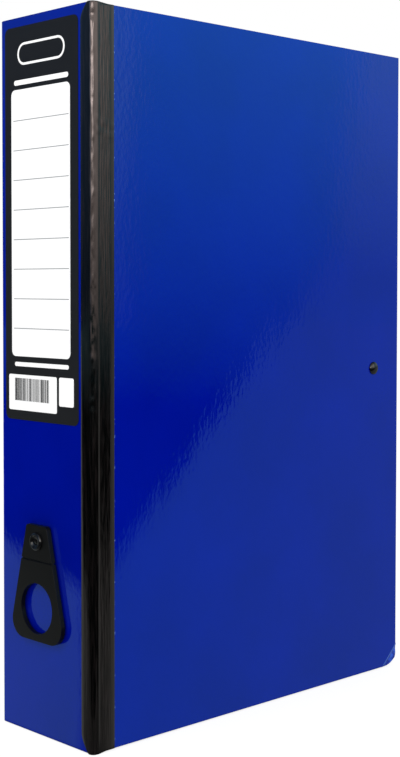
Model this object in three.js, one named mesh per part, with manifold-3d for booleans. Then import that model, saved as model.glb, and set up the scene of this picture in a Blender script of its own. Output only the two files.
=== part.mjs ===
import * as THREE from 'three';
import { mergeVertices } from 'three/addons/utils/BufferGeometryUtils.js';
import Module from 'manifold-3d';

const wasm = await Module();
wasm.setup();

// Box file standing on its tail, in millimetres.
// X is the thickness with the lid on +X, Y the depth with the spine on -Y, Z the height.

// Case and tray
const fileThick = 75;
const fileDepth = 238;
const fileHeight = 370;
const coverBoard = 2.5;
const wallBoard = 3;
const coverSquare = 2.5; // how far the covers stand past the tray walls
const liningPaper = 0.25;
const liningMargin = 0.5;
const lidLiningMargin = 5;
const glueLine = 0.05;
const lidRest = 0.3; // closed lid over the rim of the walls
const lidShort = 0.5; // lid shorter than the spine at head and tail
const crushDepth = 10; // bumped tail corner of the lid, along the depth
const crushRise = 3.6; // and up the fore edge

// Hinge tape
const tapeThick = 0.4;
const tapeOnSpine = 8.5;
const tapeOnLid = 13.8;
const tapeMitreWidth = 5.5;
const tapeMitreHeight = 9.5;
const hingeRound = 2.6; // outside radius of the tape round the corner
const hingeFlap = 2.5; // tape that stays with the tray past the corner
const hingeClear = 0.3;

// Spine label
const labelPaper = 0.15;
const printFilm = 0.1;
const labelCorner = 3.5;
const labelWidth = 61;
const labelHeight = 203;
const labelCentreX = -3.5;
const labelTailZ = 162;
const panelCorner = 3;
const panelWidth = 49;
const panelHeight = 137.7;
const panelOffsetX = -0.3; // panel centre from the label centre
const panelAboveLabelTail = 33;
const barWidth = 40.6;
const barHeight = 18.5;
const barOffsetX = -7.2;
const smallPanelCorner = 1;
const markWidth = 11.8;
const markHeight = 14.5;
const markOffsetX = 20.9;
const smallPanelsAboveLabelTail = 5;

// Ring pull
const pullCentreX = -4;
const pullTopZ = 109.3;
const pullBottomZ = 49.6;
const pullTopWidth = 16.5;
const pullTopCorner = 2;
const pullCornerRound = 9;
const pullCornerSpacing = 23.2;
const pullThick = 2.5;
const pullStandOff = 0.8;
const pullBoss = 0.5;
const pullBossRadius = 5.5;
const fingerHoleRadius = 13;
const fingerHoleZ = 66.4;
const creaseZ = 91;
const creaseDepth = 0.9; // groove depth on the front, where the fold line lies
const creaseHalfAngle = 47;
const creaseGap = 0.4;
const pullRivetZ = 100.9;
const pullRivetShank = 2;
const pullRivetHead = 4.75;
const pullRivetRise = 1.2;
const pullRivetDimple = 0.6;
const pullRivetClinch = 3.4;
const pullRivetClinchThick = 0.7;
const washerRadius = 6;
const washerThick = 0.8;
const runClear = 0.1; // round a shank or a pin
const seatClear = 0.3; // between a moving piece and its seat

// Lid catch and fore-edge button
const catchZ = 182.6;
const lidRivetFromFore = 22.7;
const lidRivetDome = 3.75;
const lidRivetRise = 1.8;
const lidRivetShank = 1.8;
const lidRivetClinch = 3.2;
const lidRivetClinchThick = 0.6;
const hookSteel = 0.8;
const hookWidth = 14;
const hookBehindRivet = 8;
const hookFromWall = 7.7;
const hookReach = 24;
const hookLip = 1.5;
const buttonBelowRim = 16.5;
const buttonRadius = 4.5;
const buttonTravel = 2.5;
const buttonFlange = 6.5;
const buttonFlangeThick = 1.2;
const buttonInnerStub = 2;
const buttonProud = 0.7;
const catchPlateThick = 1.2;
const catchPlateWidth = 16;
const catchPlateLength = 24;
const catchPlateCorner = 2;

// Paper clamp on the base
const clampSteel = 1.2;
const clampZ = 185;
const clampPlateFromSpine = 12.5; // from the inside of the spine
const clampPlateLength = 34;
const clampPlateWidth = 32;
const clampPivotHeight = 9; // above the plate
const clampPivotAlong = 14; // from the plate's spine end
const clampEarSpacing = 22;
const clampEarRadius = 4.5;
const clampPinRadius = 2;
const clampPinHead = 3.2;
const clampPinHeadThick = 1;
const clampHubRadius = 4;
const clampArmWidth = 12;
const clampArmThick = 1.5;
const clampArmLength = 95;
const clampArmDrop = 8.05; // underside of the arm below the pivot
const clampArmSlope = 14;
const clampFootWall = 1.9;
const clampFootLength = 17;
const clampRivetShank = 2;
const clampRivetHead = 3.6;
const clampRivetHeadThick = 0.9;
const clampRivetInset = 4.5; // from the plate's ends
const springWire = 0.9;
const springTurns = 3;
const springGap = 0.35;

const paperBlue = { color: 0x0a1f8f, roughness: 0.2, metalness: 0 };
const trayBoard = { color: 0x1c1c1e, roughness: 0.7, metalness: 0 };
const liningGrey = { color: 0xb9bab8, roughness: 0.8, metalness: 0 };
const tapeBlack = { color: 0x161617, roughness: 0.3, metalness: 0 };
const labelBlack = { color: 0x202021, roughness: 0.3, metalness: 0 };
const labelWhite = { color: 0xf4f4f4, roughness: 0.35, metalness: 0 };
const plasticBlack = { color: 0x1a1a1b, roughness: 0.4, metalness: 0 };
const rivetBlack = { color: 0x111112, roughness: 0.25, metalness: 0.6 };
const zincSteel = { color: 0xb8bbbe, roughness: 0.35, metalness: 1 };

// Faces of the boards
const baseOuter = -fileThick / 2;
const baseInner = baseOuter + coverBoard;
const lidOuter = fileThick / 2;
const lidInner = lidOuter - coverBoard;
const spineOuter = -fileDepth / 2;
const spineInner = spineOuter + coverBoard;
const foreEdge = fileDepth / 2;
const baseLiningFace = baseInner + glueLine + liningPaper;
const lidLiningFace = lidInner - glueLine - liningPaper;
const rim = lidLiningFace - lidRest;
const trayBackY = spineInner + glueLine;
const wallOuterY = foreEdge - coverSquare;
const wallInnerY = wallOuterY - wallBoard;
const tailOuterZ = coverSquare;
const tailInnerZ = tailOuterZ + wallBoard;
const headOuterZ = fileHeight - coverSquare;
const headInnerZ = headOuterZ - wallBoard;
const lidLowZ = lidShort;
const lidHighZ = fileHeight - lidShort;

// Hinge line of the lid and where the lid begins beside it
const tapeOuterX = lidOuter + glueLine + tapeThick;
const tapeOuterY = spineOuter - glueLine - tapeThick;
const hingeX = tapeOuterX - hingeRound;
const hingeY = tapeOuterY + hingeRound;
const lidStart = hingeY + Math.hypot(hingeRound, hingeFlap) + hingeClear;

// Faces of the ring pull, counted outward from the spine
const pullBackY = spineOuter - pullStandOff;
const pullFrontY = pullBackY - pullThick;
const creaseY = pullFrontY + creaseDepth;
const washerFaceY = spineInner + glueLine + washerThick;

const file = new THREE.Group();
const wholeTurn = 2 * Math.PI;
const roundSteps = 24;
const axes = {
  x: [new THREE.Vector3(0, 1, 0), new THREE.Vector3(0, 0, 1), new THREE.Vector3(1, 0, 0)],
  y: [new THREE.Vector3(1, 0, 0), new THREE.Vector3(0, 0, 1), new THREE.Vector3(0, 1, 0)],
  z: [new THREE.Vector3(1, 0, 0), new THREE.Vector3(0, 1, 0), new THREE.Vector3(0, 0, 1)],
};

// Merged vertices, no flat triangles, and faces that point out.
function closedGeometry(source) {
  const bare = source.clone();
  bare.deleteAttribute('normal');
  bare.deleteAttribute('uv');
  const merged = mergeVertices(bare, 1e-4);
  const place = merged.getAttribute('position');
  const corner = [new THREE.Vector3(), new THREE.Vector3(), new THREE.Vector3()];
  const kept = [];
  let volume = 0;
  for (let i = 0; i < merged.index.count; i += 3) {
    const [a, b, c] = [0, 1, 2].map((k) => merged.index.getX(i + k));
    if (a !== b && b !== c && c !== a) {
      kept.push(a, b, c);
      [a, b, c].forEach((v, k) => corner[k].fromBufferAttribute(place, v));
      volume += corner[0].dot(corner[1].cross(corner[2]));
    }
  }
  merged.setIndex(volume < 0 ? kept.reverse() : kept);
  return merged;
}

function solidOf(geometry) {
  const closed = closedGeometry(geometry);
  return new wasm.Manifold(new wasm.Mesh({
    numProp: 3,
    vertProperties: new Float32Array(closed.getAttribute('position').array),
    triVerts: new Uint32Array(closed.index.array),
  }));
}

function geometryOf(solid) {
  const mesh = solid.getMesh();
  const geometry = new THREE.BufferGeometry();
  geometry.setAttribute('position', new THREE.BufferAttribute(mesh.vertProperties, 3));
  geometry.setIndex(new THREE.BufferAttribute(mesh.triVerts, 1));
  return geometry;
}

function joined(geometries) {
  return geometryOf(geometries.map(solidOf).reduce((sum, next) => sum.add(next)));
}

function cut(geometry, cutters) {
  return geometryOf(cutters.map(solidOf).reduce((rest, next) => rest.subtract(next), solidOf(geometry)));
}

function addPiece(name, geometry, look) {
  const mesh = new THREE.Mesh(closedGeometry(geometry), new THREE.MeshStandardMaterial(look));
  mesh.name = name;
  mesh.geometry.computeVertexNormals();
  file.add(mesh);
}

function block(x0, x1, y0, y1, z0, z1) {
  const geometry = new THREE.BoxGeometry(x1 - x0, y1 - y0, z1 - z0);
  return geometry.translate((x0 + x1) / 2, (y0 + y1) / 2, (z0 + z1) / 2);
}

// A flat outline pulled along an axis: (y, z) for x, (x, z) for y, (x, y) for z.
function slab(shape, axis, low, high) {
  const geometry = new THREE.ExtrudeGeometry(shape, {
    depth: high - low,
    bevelEnabled: false,
    curveSegments: roundSteps / 4,
  });
  geometry.translate(0, 0, low);
  return geometry.applyMatrix4(new THREE.Matrix4().makeBasis(...axes[axis]));
}

function disc(radius, u, v) {
  const shape = new THREE.Shape();
  shape.absarc(u, v, radius, 0, wholeTurn);
  return shape;
}

function rod(radius, axis, u, v, low, high) {
  return slab(disc(radius, u, v), axis, low, high);
}

function outline(points) {
  return new THREE.Shape(points.map(([u, v]) => new THREE.Vector2(u, v)));
}

function roundedPlate(u0, u1, v0, v1, corner) {
  const shape = new THREE.Shape();
  shape.absarc(u1 - corner, v0 + corner, corner, -Math.PI / 2, 0);
  shape.absarc(u1 - corner, v1 - corner, corner, 0, Math.PI / 2);
  shape.absarc(u0 + corner, v1 - corner, corner, Math.PI / 2, Math.PI);
  shape.absarc(u0 + corner, v0 + corner, corner, Math.PI, 1.5 * Math.PI);
  return shape;
}

// A profile of (radius, place along the axis) turned about an axis through (u, v).
function turned(profile, axis, u, v) {
  const points = profile.map(([radius, along]) => new THREE.Vector2(radius, along));
  const geometry = new THREE.LatheGeometry(points, roundSteps);
  const [first, second, third] = axes[axis];
  geometry.applyMatrix4(new THREE.Matrix4().makeBasis(first, third, second));
  return geometry.translate(...first.clone().multiplyScalar(u).addScaledVector(second, v).toArray());
}

function tangentPoint(from, centre, radius) {
  const span = Math.hypot(centre[0] - from[0], centre[1] - from[1]);
  const heading = Math.atan2(centre[1] - from[1], centre[0] - from[0]) + Math.asin(radius / span);
  const reach = Math.sqrt(span * span - radius * radius);
  return [from[0] + reach * Math.cos(heading), from[1] + reach * Math.sin(heading)];
}

// Case
const pullHole = rod(pullRivetShank + runClear, 'y', pullCentreX, pullRivetZ, spineOuter - 1, spineInner + 1);
const spineCover = block(baseOuter, hingeX, spineOuter, spineInner, 0, fileHeight);
addPiece('spine_cover', cut(spineCover, [pullHole]), paperBlue);

const plateStartY = spineInner + clampPlateFromSpine;
const plateEndY = plateStartY + clampPlateLength;
const clampRivetYs = [plateStartY + clampRivetInset, plateEndY - clampRivetInset];
const clampHoles = clampRivetYs.map((y) =>
  rod(clampRivetShank + runClear, 'x', y, clampZ, baseOuter - 1, baseLiningFace + clampSteel + 1));
const baseCover = block(baseOuter, baseInner, trayBackY, foreEdge, 0, fileHeight);
addPiece('base_cover', cut(baseCover, clampHoles), paperBlue);

const lidRivetY = foreEdge - lidRivetFromFore;
const lidHole = rod(lidRivetShank + runClear, 'x', lidRivetY, catchZ, rim - hookSteel - 1, lidOuter + 1);
const lidOutline = new THREE.Shape();
lidOutline.moveTo(lidStart, lidLowZ);
lidOutline.lineTo(foreEdge - crushDepth, lidLowZ);
lidOutline.quadraticCurveTo(foreEdge - crushDepth / 3, lidLowZ, foreEdge, lidLowZ + crushRise);
lidOutline.lineTo(foreEdge, lidHighZ);
lidOutline.lineTo(lidStart, lidHighZ);
addPiece('lid_cover', cut(slab(lidOutline, 'x', lidInner, lidOuter), [lidHole]), paperBlue);

const lidLining = block(
  lidLiningFace, lidInner - glueLine,
  lidStart + lidLiningMargin, foreEdge - lidLiningMargin,
  lidLowZ + lidLiningMargin, lidHighZ - lidLiningMargin,
);
addPiece('lid_lining', cut(lidLining, [lidHole]), liningGrey);

// Tray
const wallFootX = baseInner + glueLine;
const sideEndY = wallInnerY - glueLine;
addPiece('tail_wall', block(wallFootX, rim, trayBackY, sideEndY, tailOuterZ, tailInnerZ), trayBoard);
addPiece('head_wall', block(wallFootX, rim, trayBackY, sideEndY, headInnerZ, headOuterZ), trayBoard);
const buttonX = rim - buttonBelowRim;
const buttonHole = rod(buttonRadius + seatClear, 'y', buttonX, catchZ, wallInnerY - 1, foreEdge + 1);
const foreWall = block(wallFootX, rim, wallInnerY, wallOuterY, tailOuterZ, headOuterZ);
addPiece('fore_edge_wall', cut(foreWall, [buttonHole]), trayBoard);
const baseLining = block(
  wallFootX, baseLiningFace,
  trayBackY + liningMargin, wallInnerY - liningMargin,
  tailInnerZ + liningMargin, headInnerZ - liningMargin,
);
addPiece('base_lining', cut(baseLining, clampHoles), liningGrey);

// Hinge tape: along the spine, round the corner, and a strip on the lid
const tapeEdgeX = lidOuter - tapeOnSpine;
const tapeProfile = new THREE.Shape();
tapeProfile.moveTo(tapeEdgeX, tapeOuterY);
tapeProfile.absarc(hingeX, hingeY, hingeRound, -Math.PI / 2, 0);
tapeProfile.lineTo(tapeOuterX, hingeY + hingeFlap);
tapeProfile.lineTo(tapeOuterX - tapeThick, hingeY + hingeFlap);
tapeProfile.absarc(hingeX, hingeY, hingeRound - tapeThick, 0, -Math.PI / 2, true);
tapeProfile.lineTo(tapeEdgeX, tapeOuterY + tapeThick);
const mitreSlope = tapeMitreHeight / tapeMitreWidth;
const mitreHead = outline([
  [tapeEdgeX - 1, fileHeight - tapeMitreHeight - mitreSlope],
  [tapeEdgeX + tapeMitreWidth + 1, fileHeight + mitreSlope],
  [tapeEdgeX - 1, fileHeight + mitreSlope],
]);
const mitreTail = outline([
  [tapeEdgeX - 1, tapeMitreHeight + mitreSlope],
  [tapeEdgeX - 1, -mitreSlope],
  [tapeEdgeX + tapeMitreWidth + 1, -mitreSlope],
]);
const mitres = [mitreHead, mitreTail].map((shape) => slab(shape, 'y', tapeOuterY - 1, spineOuter));
addPiece('hinge_tape_spine', cut(slab(tapeProfile, 'z', 0, fileHeight), mitres), tapeBlack);
addPiece('hinge_tape_lid', block(
  tapeOuterX - tapeThick, tapeOuterX, lidStart, spineOuter + tapeOnLid, lidLowZ, lidHighZ,
), tapeBlack);

// Spine label and the light fields printed on it
const labelBackY = spineOuter - glueLine;
const labelFrontY = labelBackY - labelPaper;
const filmBackY = labelFrontY - glueLine;
function labelField(name, offsetX, width, low, height, corner) {
  const centre = labelCentreX + offsetX;
  const shape = roundedPlate(centre - width / 2, centre + width / 2, low, low + height, corner);
  addPiece(name, slab(shape, 'y', filmBackY - printFilm, filmBackY), labelWhite);
}
const labelShape = roundedPlate(
  labelCentreX - labelWidth / 2, labelCentreX + labelWidth / 2,
  labelTailZ, labelTailZ + labelHeight, labelCorner,
);
addPiece('spine_label', slab(labelShape, 'y', labelFrontY, labelBackY), labelBlack);
const smallPanelsZ = labelTailZ + smallPanelsAboveLabelTail;
const markZ = smallPanelsZ + barHeight - markHeight;
labelField('label_panel', panelOffsetX, panelWidth, labelTailZ + panelAboveLabelTail, panelHeight, panelCorner);
labelField('label_bar_panel', barOffsetX, barWidth, smallPanelsZ, barHeight, smallPanelCorner);
labelField('label_mark_panel', markOffsetX, markWidth, markZ, markHeight, smallPanelCorner);

// Ring pull: one outline, grooved and parted along the crease
const pullCorner = [pullCornerSpacing / 2, pullBottomZ + pullCornerRound];
const shoulder = [pullTopWidth / 2, pullTopZ];
const flank = tangentPoint(shoulder, pullCorner, pullCornerRound);
const flankAngle = Math.atan2(flank[1] - pullCorner[1], flank[0] - pullCorner[0]);
const pullShape = new THREE.Shape();
pullShape.absarc(pullCentreX - pullCorner[0], pullCorner[1], pullCornerRound, Math.PI - flankAngle, 1.5 * Math.PI);
pullShape.absarc(pullCentreX + pullCorner[0], pullCorner[1], pullCornerRound, -Math.PI / 2, flankAngle);
const shoulderFall = pullTopCorner * (flank[0] - shoulder[0]) / (shoulder[1] - flank[1]);
const shoulderSide = shoulder[0] + shoulderFall;
pullShape.lineTo(pullCentreX + shoulderSide, pullTopZ - pullTopCorner);
pullShape.quadraticCurveTo(
  pullCentreX + shoulder[0], pullTopZ, pullCentreX + shoulder[0] - pullTopCorner, pullTopZ);
pullShape.lineTo(pullCentreX - shoulder[0] + pullTopCorner, pullTopZ);
pullShape.quadraticCurveTo(
  pullCentreX - shoulder[0], pullTopZ, pullCentreX - shoulderSide, pullTopZ - pullTopCorner);
const pullBlank = joined([
  slab(pullShape, 'y', pullFrontY, pullBackY),
  rod(pullBossRadius, 'y', pullCentreX, pullRivetZ, pullFrontY + pullThick / 2, pullBackY + pullBoss),
]);
const grooveRise = Math.tan(THREE.MathUtils.degToRad(creaseHalfAngle));
const grooveApexY = creaseY + creaseGap / 2 / grooveRise;
const grooveMouth = (grooveApexY - pullFrontY + 1) * grooveRise;
const pullHalfSpan = pullCornerSpacing / 2 + pullCornerRound + 1;
const groove = slab(outline([
  [grooveApexY, creaseZ],
  [pullFrontY - 1, creaseZ + grooveMouth],
  [pullFrontY - 1, creaseZ - grooveMouth],
]), 'x', pullCentreX - pullHalfSpan, pullCentreX + pullHalfSpan);
const slit = block(
  pullCentreX - pullHalfSpan, pullCentreX + pullHalfSpan,
  creaseY, pullBackY + pullBoss + 1,
  creaseZ - creaseGap / 2, creaseZ + creaseGap / 2,
);
const fingerHole = rod(fingerHoleRadius, 'y', pullCentreX, fingerHoleZ, pullFrontY - 1, pullBackY + 1);
const pullHalves = solidOf(cut(pullBlank, [groove, slit, fingerHole, rod(
  pullRivetShank + runClear, 'y', pullCentreX, pullRivetZ, pullFrontY - 1, pullBackY + pullBoss + 1,
)])).decompose();
pullHalves.sort((a, b) => b.boundingBox().max[2] - a.boundingBox().max[2]);
addPiece('pull_tab', geometryOf(pullHalves[0]), plasticBlack);
addPiece('pull_ring', geometryOf(pullHalves[1]), plasticBlack);

const headSeatY = pullFrontY - runClear;
const clinchY = washerFaceY + glueLine;
addPiece('pull_rivet', turned([
  [0, headSeatY - pullRivetRise + pullRivetDimple],
  [pullRivetHead * 0.35, headSeatY - pullRivetRise + pullRivetDimple],
  [pullRivetHead * 0.5, headSeatY - pullRivetRise],
  [pullRivetHead * 0.75, headSeatY - pullRivetRise],
  [pullRivetHead, headSeatY - pullRivetRise * 0.3],
  [pullRivetHead, headSeatY],
  [pullRivetShank, headSeatY],
  [pullRivetShank, clinchY],
  [pullRivetClinch, clinchY],
  [pullRivetClinch, clinchY + pullRivetClinchThick],
  [0, clinchY + pullRivetClinchThick],
], 'y', pullCentreX, pullRivetZ), rivetBlack);
addPiece('pull_washer', turned([
  [pullRivetShank + runClear, spineInner + glueLine],
  [washerRadius, spineInner + glueLine],
  [washerRadius, washerFaceY],
  [pullRivetShank + runClear, washerFaceY],
  [pullRivetShank + runClear, spineInner + glueLine],
], 'y', pullCentreX, pullRivetZ), zincSteel);

// Hook on the lid, bent from one strip, and its domed rivet
const hookTopX = lidLiningFace - glueLine;
const tongueY = wallInnerY - hookFromWall;
const hookProfile = outline([
  [hookTopX, lidRivetY - hookBehindRivet],
  [hookTopX, tongueY],
  [hookTopX - hookReach, tongueY],
  [hookTopX - hookReach, tongueY + hookLip],
  [hookTopX - hookReach - hookSteel, tongueY + hookLip],
  [hookTopX - hookReach - hookSteel, tongueY - hookSteel],
  [hookTopX - hookSteel, tongueY - hookSteel],
  [hookTopX - hookSteel, lidRivetY - hookBehindRivet],
]);
const hook = slab(hookProfile, 'z', catchZ - hookWidth / 2, catchZ + hookWidth / 2);
addPiece('lid_catch_hook', cut(hook, [lidHole]), zincSteel);
const lidRivetSeat = lidOuter + glueLine;
const lidClinchX = hookTopX - hookSteel - glueLine;
const domeSteps = 4;
const dome = Array.from({ length: domeSteps + 1 }, (_, i) => {
  const angle = (i / domeSteps) * Math.PI / 2;
  return [lidRivetDome * Math.cos(angle), lidRivetSeat + lidRivetRise * Math.sin(angle)];
});
dome[domeSteps][0] = 0;
addPiece('lid_catch_rivet', turned([
  [0, lidClinchX - lidRivetClinchThick],
  [lidRivetClinch, lidClinchX - lidRivetClinchThick],
  [lidRivetClinch, lidClinchX],
  [lidRivetShank, lidClinchX],
  [lidRivetShank, lidRivetSeat],
  ...dome,
], 'x', lidRivetY, catchZ), rivetBlack);

// Push button and its plate in the fore-edge wall
const plateShape = roundedPlate(
  buttonX - catchPlateLength / 2, buttonX + catchPlateLength / 2,
  catchZ - catchPlateWidth / 2, catchZ + catchPlateWidth / 2, catchPlateCorner,
);
const plateFaceY = wallOuterY + glueLine + catchPlateThick;
addPiece('catch_plate', cut(slab(plateShape, 'y', wallOuterY + glueLine, plateFaceY), [buttonHole]), plasticBlack);
const flangeFaceY = wallInnerY - seatClear;
addPiece('catch_button', turned([
  [0, flangeFaceY - buttonFlangeThick - buttonInnerStub],
  [buttonRadius, flangeFaceY - buttonFlangeThick - buttonInnerStub],
  [buttonRadius, flangeFaceY - buttonFlangeThick],
  [buttonFlange, flangeFaceY - buttonFlangeThick],
  [buttonFlange, flangeFaceY],
  [buttonRadius, flangeFaceY],
  [buttonRadius, plateFaceY + buttonProud * 0.5],
  [buttonRadius * 0.85, plateFaceY + buttonProud],
  [0, plateFaceY + buttonProud],
], 'y', buttonX, catchZ), plasticBlack);

// Paper clamp: plate with two ears, pin, springs, arm and foot
const plateLowX = baseLiningFace + glueLine;
const plateTopX = plateLowX + clampSteel;
const pivotX = plateTopX + clampPivotHeight;
const pivotY = plateStartY + clampPivotAlong;
const earShape = new THREE.Shape();
earShape.absarc(pivotX, pivotY, clampEarRadius, -Math.PI / 2, Math.PI / 2);
earShape.lineTo(plateLowX, pivotY + clampEarRadius);
earShape.lineTo(plateLowX, pivotY - clampEarRadius);
const earInner = clampEarSpacing / 2;
const earOuter = earInner + clampSteel;
const pinHole = rod(clampPinRadius + runClear, 'z', pivotX, pivotY, clampZ - earOuter - 1, clampZ + earOuter + 1);
const clampPlate = block(
  plateLowX, plateTopX, plateStartY, plateEndY, clampZ - clampPlateWidth / 2, clampZ + clampPlateWidth / 2);
const ears = [[-earOuter, -earInner], [earInner, earOuter]].map(([low, high]) =>
  slab(earShape, 'z', clampZ + low, clampZ + high));
addPiece('clamp_base', cut(joined([clampPlate, ...ears]), [pinHole, ...clampHoles]), zincSteel);

clampRivetYs.forEach((y, i) => {
  const under = baseOuter - glueLine;
  const over = plateTopX + glueLine;
  addPiece(`clamp_rivet_${i + 1}`, turned([
    [0, under - clampRivetHeadThick],
    [clampRivetHead * 0.7, under - clampRivetHeadThick],
    [clampRivetHead, under - clampRivetHeadThick * 0.4],
    [clampRivetHead, under],
    [clampRivetShank, under],
    [clampRivetShank, over],
    [clampRivetHead, over],
    [clampRivetHead * 0.7, over + clampRivetHeadThick],
    [0, over + clampRivetHeadThick],
  ], 'x', y, clampZ), zincSteel);
});

const pinEnd = earOuter + runClear;
addPiece('clamp_pin', turned([
  [0, clampZ - pinEnd - clampPinHeadThick],
  [clampPinHead, clampZ - pinEnd - clampPinHeadThick],
  [clampPinHead, clampZ - pinEnd],
  [clampPinRadius, clampZ - pinEnd],
  [clampPinRadius, clampZ + pinEnd],
  [clampPinHead, clampZ + pinEnd],
  [clampPinHead, clampZ + pinEnd + clampPinHeadThick],
  [0, clampZ + pinEnd + clampPinHeadThick],
], 'z', pivotX, pivotY), zincSteel);

// Helix round the pin, with one leg that runs down to the plate
class SpringPath extends THREE.Curve {
  constructor(startZ, pitch) {
    super();
    this.startZ = startZ;
    this.pitch = pitch;
    this.radius = clampPinRadius + springGap + springWire / 2;
    this.legLength = clampPivotHeight - springWire / 2 - seatClear;
    this.coilLength = springTurns * wholeTurn * this.radius;
  }

  getPoint(t, target = new THREE.Vector3()) {
    const along = t * (this.coilLength + this.legLength);
    const coil = Math.max(0, along - this.legLength);
    const leg = Math.max(0, this.legLength - along);
    const angle = -Math.PI / 2 + coil / this.radius;
    return target.set(
      pivotX + this.radius * Math.cos(angle) - leg,
      pivotY + this.radius * Math.sin(angle),
      this.startZ + this.pitch * coil / (wholeTurn * this.radius),
    );
  }
}
const wireSection = disc(springWire / 2, 0, 0);
const springRoom = (clampEarSpacing - clampArmWidth) / 2;
const springPitch = springWire * 1.15;
const springLength = springPitch * springTurns;
[-1, 1].forEach((side, i) => {
  const startZ = clampZ + side * (earInner - (springRoom - springLength) / 2);
  const coil = new THREE.ExtrudeGeometry(wireSection, {
    steps: springTurns * 14,
    curveSegments: 3,
    bevelEnabled: false,
    extrudePath: new SpringPath(startZ, -side * springPitch),
  });
  addPiece(`clamp_spring_${i + 1}`, coil, zincSteel);
});

const armTop = -clampArmDrop + clampArmThick;
const armOutline = outline([
  [-clampHubRadius * 0.5, -clampHubRadius * 0.8],
  [-clampHubRadius, 0],
  [-clampArmDrop, clampArmSlope],
  [-clampArmDrop, clampArmLength],
  [armTop, clampArmLength],
  [armTop, clampArmSlope],
  [-clampHubRadius * 0.2, clampHubRadius * 0.9],
  [0, 0],
].map(([drop, along]) => [pivotX + drop, pivotY + along]));
const armLowZ = clampZ - clampArmWidth / 2;
const armHighZ = clampZ + clampArmWidth / 2;
addPiece('clamp_arm', cut(joined([
  slab(armOutline, 'z', armLowZ, armHighZ),
  rod(clampHubRadius, 'z', pivotX, pivotY, armLowZ, armHighZ),
]), [pinHole]), zincSteel);
const footReach = clampFootWall + runClear;
const footLowX = pivotX - clampArmDrop - footReach;
const footHighX = pivotX + armTop + footReach;
const footTipY = pivotY + clampArmLength + footReach;
const footShape = roundedPlate(footLowX, footHighX, armLowZ - footReach, armHighZ + footReach, clampFootWall);
const footSlot = block(
  footLowX + clampFootWall, footHighX - clampFootWall,
  footTipY - clampFootLength - 1, pivotY + clampArmLength + runClear,
  armLowZ - runClear, armHighZ + runClear,
);
addPiece('clamp_foot', cut(slab(footShape, 'y', footTipY - clampFootLength, footTipY), [footSlot]), plasticBlack);

// The frame's origin is the middle of the whole file's footprint.
const box = new THREE.Box3().setFromObject(file);
file.position.set(-(box.min.x + box.max.x) / 2, -(box.min.y + box.max.y) / 2, 0);
file.updateMatrixWorld(true);

export default file;
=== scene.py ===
import bpy, bmesh, math
from mathutils import Matrix, Vector, noise


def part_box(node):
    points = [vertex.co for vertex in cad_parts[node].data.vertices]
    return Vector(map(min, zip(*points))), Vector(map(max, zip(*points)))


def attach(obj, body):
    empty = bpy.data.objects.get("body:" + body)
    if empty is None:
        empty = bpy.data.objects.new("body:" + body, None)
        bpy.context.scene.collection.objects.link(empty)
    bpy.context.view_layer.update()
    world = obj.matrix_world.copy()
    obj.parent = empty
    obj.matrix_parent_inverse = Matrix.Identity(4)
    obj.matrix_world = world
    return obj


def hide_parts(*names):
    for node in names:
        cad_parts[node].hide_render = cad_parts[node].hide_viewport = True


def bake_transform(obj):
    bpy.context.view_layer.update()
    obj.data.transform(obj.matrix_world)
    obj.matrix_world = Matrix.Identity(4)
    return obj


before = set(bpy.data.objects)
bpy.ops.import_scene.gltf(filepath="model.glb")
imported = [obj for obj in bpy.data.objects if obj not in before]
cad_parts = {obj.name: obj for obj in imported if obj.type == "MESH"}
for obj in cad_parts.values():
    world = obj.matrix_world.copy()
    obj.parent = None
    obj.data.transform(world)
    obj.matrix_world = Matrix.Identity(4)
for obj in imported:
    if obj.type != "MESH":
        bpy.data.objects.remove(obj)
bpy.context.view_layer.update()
print("frame loaded")

mm = 0.001

# Case sizes in millimetres, measured from the middle of the case on its tail
case = {"thick": 75, "depth": 238, "height": 370}
baseLow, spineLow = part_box("base_cover")[0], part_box("spine_cover")[0]
shift = Vector((baseLow.x + case["thick"] / 2 * mm, spineLow.y + case["depth"] / 2 * mm, 0))
lidOuter, spineOuter = case["thick"] / 2, -case["depth"] / 2


def place(x, y, z):  # case millimetres to frame metres
    return Vector((x, y, z)) * mm + shift


def boxOf(node):  # a CAD node's corners in case millimetres
    low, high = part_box(node)
    return (low - shift) / mm, (high - shift) / mm


# Camera, fitted to the photo: case millimetres, pixels of the photo and degrees
view = {"at": (559.96, -542.01, 231.74), "focal": 1372.41, "centre": (212.5, 330.16), "size": (400, 757),
        "azimuth": 45.992, "elevation": 1.857, "roll": 0.0716}


def makeCamera():
    data = bpy.data.cameras.new("camera")
    camera = bpy.data.objects.new("camera", data)
    bpy.context.scene.collection.objects.link(camera)
    azimuth, elevation, roll = (math.radians(view[k]) for k in ("azimuth", "elevation", "roll"))
    back = Vector((math.sin(azimuth) * math.cos(elevation), -math.cos(azimuth) * math.cos(elevation),
                   math.sin(elevation)))
    right = Vector((0, 0, 1)).cross(back).normalized()
    turnedRight = math.cos(roll) * right + math.sin(roll) * back.cross(right)
    turnedUp = back.cross(turnedRight)
    camera.matrix_world = (Matrix.Translation(place(*view["at"]))
                           @ Matrix((turnedRight, turnedUp, back)).transposed().to_4x4())
    wide, tall = view["size"]
    data.sensor_fit = "VERTICAL"
    data.sensor_height = 36
    data.lens = view["focal"] / tall * data.sensor_height
    data.shift_x = (wide / 2 - view["centre"][0]) / tall
    data.shift_y = (view["centre"][1] - tall / 2) / tall
    data.clip_start = 0.01
    bpy.context.scene.camera = camera


makeCamera()
bpy.context.scene.view_settings.view_transform = "Standard"


# Nodes and colours
def linear(hexColour):
    parts = [int(hexColour[i:i + 2], 16) / 255 for i in (0, 2, 4)]
    return tuple(c / 12.92 if c <= 0.04045 else ((c + 0.055) / 1.055) ** 2.4 for c in parts) + (1,)


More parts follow.
